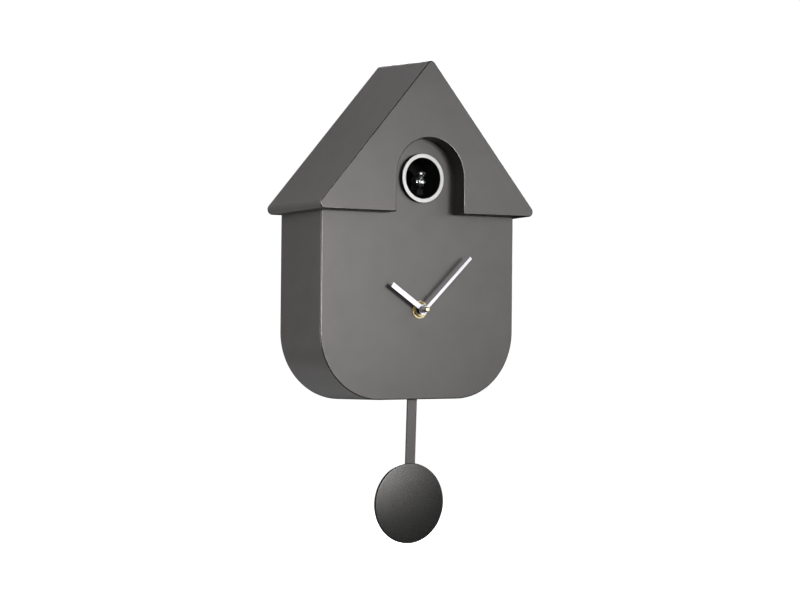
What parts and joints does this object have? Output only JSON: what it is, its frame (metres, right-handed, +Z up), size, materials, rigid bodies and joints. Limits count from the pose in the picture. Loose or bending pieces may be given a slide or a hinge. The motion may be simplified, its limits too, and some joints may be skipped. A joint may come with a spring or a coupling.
{
  "type": "cuckoo clock",
  "caption": "Wall cuckoo clock shaped as a small gabled house, with a porthole bird, two hands and a disc pendulum.",
  "frame": {"origin": "where the wall screw's shank sits in the back cover's keyhole, on the wall plane", "axes": "+Z up, +Y into the wall, so the clock faces -Y and +X is to a viewer's right"},
  "size_m": [0.2156, 0.0803, 0.3989],
  "materials": {
    "gunmetal_paint": "satin warm grey metallic lacquer on moulded ABS",
    "black_plastic": "fine spark-textured black ABS",
    "grey_plastic": "moulded grey polystyrene",
    "white_plastic": "natural acetal",
    "silver_paint": "satin silver",
    "chrome": "bright chrome plating on moulded plastic",
    "brass": "turned brass",
    "steel": "bright zinc-plated steel",
    "copper_wire": "enamelled copper winding",
    "rubber": "matt black rubber",
    "circuit_board": "green solder mask on glass-epoxy board",
    "cell_jacket": "printed shrink film on a steel can",
    "paper_cone": "pressed paper pulp"
  },
  "bodies": {
    "case": {"roof_shell": "gunmetal_paint", "case_shell": "gunmetal_paint", "back_cover": "black_plastic", "cover_screw_top_left": "steel", "cover_screw_top_right": "steel", "cover_screw_low_left": "steel", "cover_screw_low_right": "steel", "roof_screw_left": "steel", "roof_screw_right": "steel", "porthole_ring": "silver_paint", "porthole_bezel": "black_plastic", "bird_tunnel": "black_plastic", "bird_frame": "black_plastic", "bird_motor": "steel", "movement_housing": "grey_plastic", "movement_cover": "grey_plastic", "rubber_gasket": "rubber", "fixing_washer": "brass", "fixing_nut": "brass", "motor_stator": "steel", "motor_coil": "copper_wire", "movement_board": "circuit_board", "movement_cell": "cell_jacket", "movement_contact_minus": "steel", "movement_contact_plus": "steel", "pendulum_housing": "black_plastic", "pendulum_coil": "copper_wire", "pendulum_pin": "steel", "speaker_frame": "steel", "speaker_cone": "paper_cone", "speaker_magnet": "steel", "sound_board": "circuit_board", "battery_tray": "black_plastic", "cell_left": "cell_jacket", "cell_right": "cell_jacket", "cell_contact_left": "steel", "cell_contact_right": "steel", "cell_link": "steel"},
    "minute_train": {"minute_arbor": "brass", "centre_wheel": "white_plastic", "minute_hand": "silver_paint", "hand_cap": "silver_paint"},
    "hour_train": {"hour_wheel": "white_plastic", "hour_hand": "silver_paint"},
    "setting": {"minute_wheel": "white_plastic", "set_knob": "black_plastic"},
    "third": {"third_wheel": "white_plastic"},
    "second": {"second_wheel": "white_plastic"},
    "rotor": {"motor_rotor": "steel"},
    "pendulum": {"pendulum_hanger": "white_plastic", "hanger_magnet": "steel", "pendulum_rod": "gunmetal_paint", "hanger_rivet": "steel", "pendulum_disc": "gunmetal_paint"},
    "bird": {"bird_carriage": "black_plastic", "bird_figure": "chrome"},
    "bird_drive": {"bird_pinion": "white_plastic"},
    "door": {"battery_door": "black_plastic"},
    "button": {"test_button": "white_plastic"},
    "switch": {"mode_switch": "white_plastic"}
  },
  "joints": [
    {"name": "minute_spin", "type": "hinge", "parent": "case", "child": "minute_train", "pos_m": [0, -0.06, -0.1389], "axis": [0, 1, 0], "continuous": true},
    {"name": "hour_spin", "type": "hinge", "parent": "case", "child": "hour_train", "pos_m": [0, -0.06, -0.1389], "axis": [0, 1, 0], "continuous": true},
    {"name": "setting_spin", "type": "hinge", "parent": "case", "child": "setting", "pos_m": [-0.013, -0.055, -0.1389], "axis": [0, 1, 0], "continuous": true},
    {"name": "third_spin", "type": "hinge", "parent": "case", "child": "third", "pos_m": [0.00421, -0.054, -0.12734], "axis": [0, 1, 0], "continuous": true},
    {"name": "second_spin", "type": "hinge", "parent": "case", "child": "second", "pos_m": [0, -0.052, -0.1389], "axis": [0, 1, 0], "continuous": true},
    {"name": "rotor_spin", "type": "hinge", "parent": "case", "child": "rotor", "pos_m": [0.0146, -0.051, -0.1421], "axis": [0, 1, 0], "continuous": true},
    {"name": "pendulum_swing", "type": "hinge", "parent": "case", "child": "pendulum", "pos_m": [0, -0.055, -0.1759], "axis": [0, 1, 0], "range_deg": [-6.45, 3.55]},
    {"name": "bird_slide", "type": "slide", "parent": "case", "child": "bird", "axis": [0, -1, 0], "range_m": [-0.011, 0.018]},
    {"name": "bird_pinion_spin", "type": "hinge", "parent": "case", "child": "bird_drive", "pos_m": [0, -0.0359, -0.04835], "axis": [1, 0, 0], "range_deg": [-215, 348]},
    {"name": "door_slide", "type": "slide", "parent": "case", "child": "door", "axis": [0, 0, -1], "range_m": [0, 0.008]},
    {"name": "button_press", "type": "slide", "parent": "case", "child": "button", "axis": [0, -1, 0], "range_m": [0, 0.0012], "stiffness_N_per_m": 200},
    {"name": "switch_slide", "type": "slide", "parent": "case", "child": "switch", "axis": [0, 0, 1], "range_m": [-0.002, 0.002]}
  ],
  "couplings": [
    {"joint": "hour_spin", "follows": "minute_spin", "ratio": 0.083333},
    {"joint": "setting_spin", "follows": "minute_spin", "ratio": -0.33333},
    {"joint": "third_spin", "follows": "minute_spin", "ratio": -7.5},
    {"joint": "second_spin", "follows": "minute_spin", "ratio": 60},
    {"joint": "bird_pinion_spin", "follows": "bird_slide", "rad_per_m": 333.33}
  ]
}
